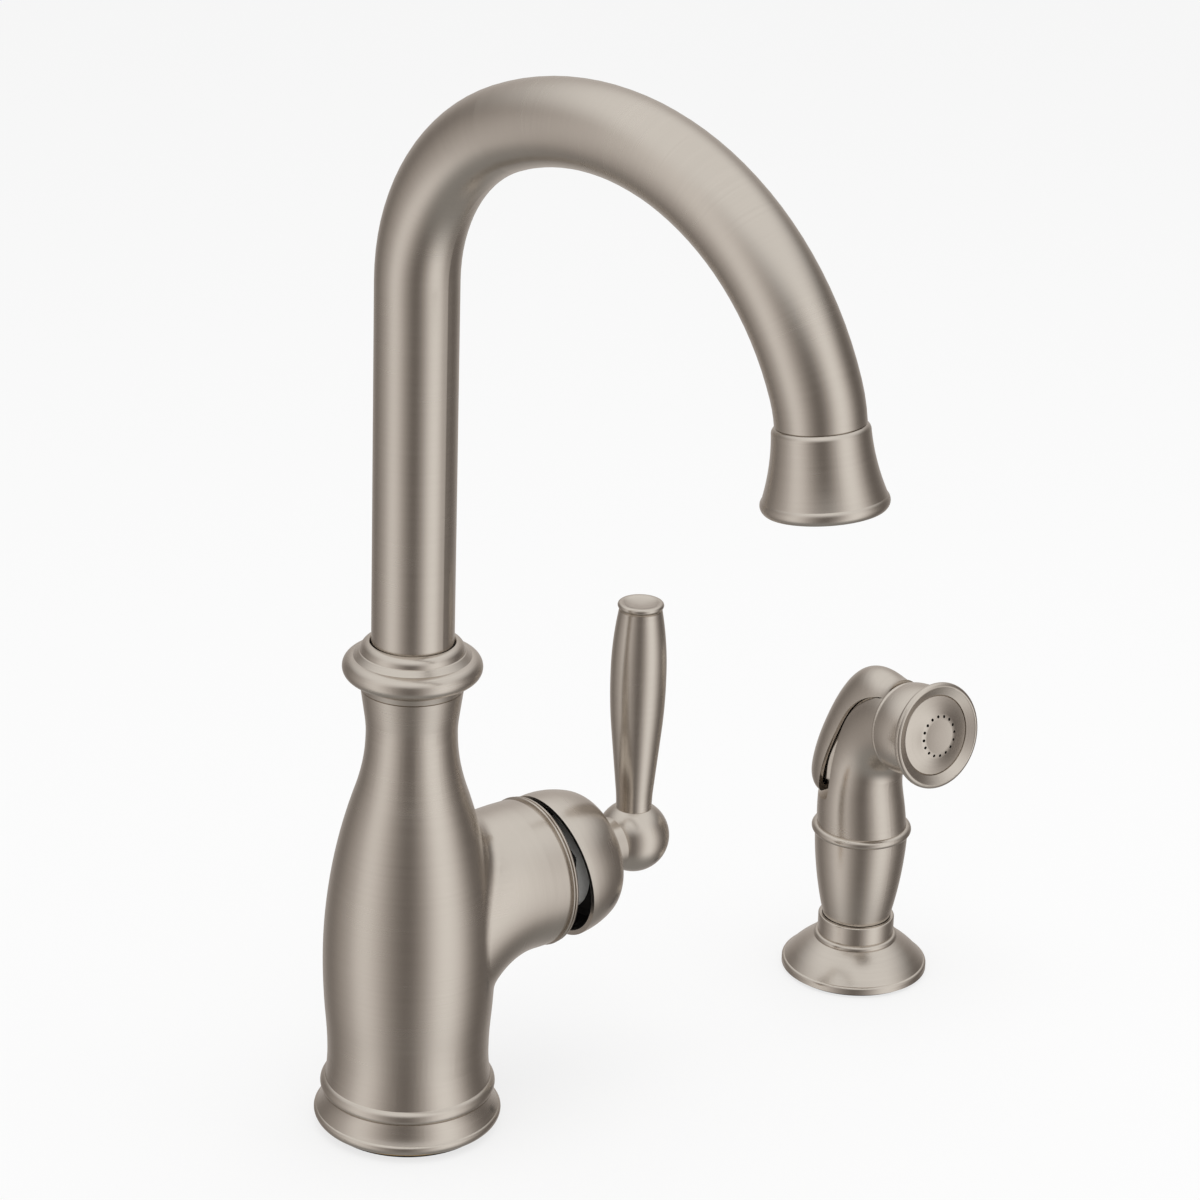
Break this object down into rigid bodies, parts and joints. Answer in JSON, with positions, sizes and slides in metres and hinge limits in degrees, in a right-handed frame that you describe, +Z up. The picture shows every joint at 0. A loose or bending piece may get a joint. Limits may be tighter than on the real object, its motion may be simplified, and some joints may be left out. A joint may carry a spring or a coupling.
{
  "type": "side spray kitchen faucet",
  "caption": "Single-handle kitchen faucet with a high swivelling gooseneck spout, a vase-shaped body with a side lever, and a pull-up side sprayer in its own deck holder.",
  "frame": {"origin": "on the faucet body's axis, at the underside of its base gasket, where it meets the deck", "axes": "+Z up, +X along the deck from the faucet past its handle to the sprayer, -Y the front, over the sink"},
  "size_m": [0.2623, 0.2173, 0.4359],
  "materials": {
    "brushed_nickel": "satin brushed nickel plate, fine brushing round the turned forms",
    "brass": "plain turned brass",
    "stainless": "bright stainless",
    "white_plastic": "moulded",
    "dark_plastic": "moulded, dull",
    "plated_plastic": "satin nickel plate on moulded plastic",
    "blackened_brass": "black, dull",
    "ceramic": "lapped",
    "rubber": "dull"
  },
  "bodies": {
    "body": {"base_gasket": "rubber", "base_ring": "brushed_nickel", "faucet_body": "brushed_nickel", "mounting_shank": "brass", "neck_ring": "brushed_nickel", "spout_collar": "brushed_nickel", "lower_spout_bushing": "white_plastic", "upper_spout_bushing": "white_plastic", "cartridge_seal": "rubber", "cartridge_housing": "white_plastic", "fixed_disc": "ceramic", "cartridge_nut": "blackened_brass", "diverter_cage": "white_plastic", "holder_gasket": "rubber", "spray_holder": "brushed_nickel", "hose_guide": "dark_plastic"},
    "spout": {"spout_tube": "brushed_nickel", "spout_stub": "brass", "spout_o_rings": "rubber", "spout_retaining_clip": "white_plastic", "outlet_bell": "brushed_nickel", "aerator_washer": "rubber", "aerator_housing": "white_plastic", "aerator_screens": "stainless"},
    "carrier": {"cartridge_spindle": "white_plastic", "stem_pivot_pin": "stainless"},
    "handle": {"cartridge_stem": "stainless", "handle_cap": "brushed_nickel", "handle_set_screw": "stainless", "handle_ball": "brushed_nickel", "lever_grip": "brushed_nickel", "lever_finial": "brushed_nickel"},
    "disc": {"mixing_disc": "ceramic"},
    "piston": {"diverter_piston": "dark_plastic"},
    "hose_end": {"hose_coupling": "brass", "coupling_o_ring": "rubber", "coupling_clip": "white_plastic"},
    "sprayer": {"sprayer_base": "brushed_nickel", "waist_ring": "brushed_nickel", "sprayer_body": "brushed_nickel", "head_ring": "brushed_nickel", "spray_bell": "brushed_nickel", "spray_face": "plated_plastic", "face_washer": "rubber", "trigger_pin": "stainless", "spray_valve_seat": "brass", "valve_spring": "stainless"},
    "trigger": {"spray_trigger": "brushed_nickel"},
    "plunger": {"valve_plunger": "stainless"}
  },
  "joints": [
    {"name": "spout_swing", "type": "hinge", "parent": "body", "child": "spout", "pos_m": [0, 0, 0.2], "axis": [0, 0, 1], "continuous": true},
    {"name": "temperature_turn", "type": "hinge", "parent": "body", "child": "carrier", "pos_m": [0.062, 0, 0.0805], "axis": [1, 0, 0], "range_deg": [-45, 45]},
    {"name": "flow_lift", "type": "hinge", "parent": "carrier", "child": "handle", "pos_m": [0.062, 0, 0.0805], "axis": [0, 1, 0], "range_deg": [0, 12]},
    {"name": "disc_slide", "type": "slide", "parent": "carrier", "child": "disc", "axis": [0, 0, 1], "range_m": [0, 0.0043]},
    {"name": "diverter_lift", "type": "slide", "parent": "body", "child": "piston", "axis": [0, 0, 1], "range_m": [0, 0.003]},
    {"name": "spray_lift", "type": "slide", "parent": "body", "child": "hose_end", "axis": [0, 0, 1], "range_m": [0, 0.12]},
    {"name": "spray_turn", "type": "hinge", "parent": "hose_end", "child": "sprayer", "pos_m": [0.2032, 0, 0.02], "axis": [0, 0, 1], "continuous": true},
    {"name": "trigger_press", "type": "hinge", "parent": "sprayer", "child": "trigger", "pos_m": [0.2032, -0.0125, 0.1172], "axis": [-1, 0, 0], "range_deg": [0, 5], "stiffness_Nm_per_rad": 3, "springref_deg": -1.15},
    {"name": "plunger_slide", "type": "slide", "parent": "sprayer", "child": "plunger", "axis": [0, -1, 0], "range_m": [0, 0.00301], "deforming": ["valve_spring"]}
  ],
  "couplings": [
    {"joint": "disc_slide", "follows": "flow_lift", "m_per_rad": 0.0204},
    {"joint": "plunger_slide", "follows": "trigger_press", "m_per_rad": 0.0345}
  ]
}
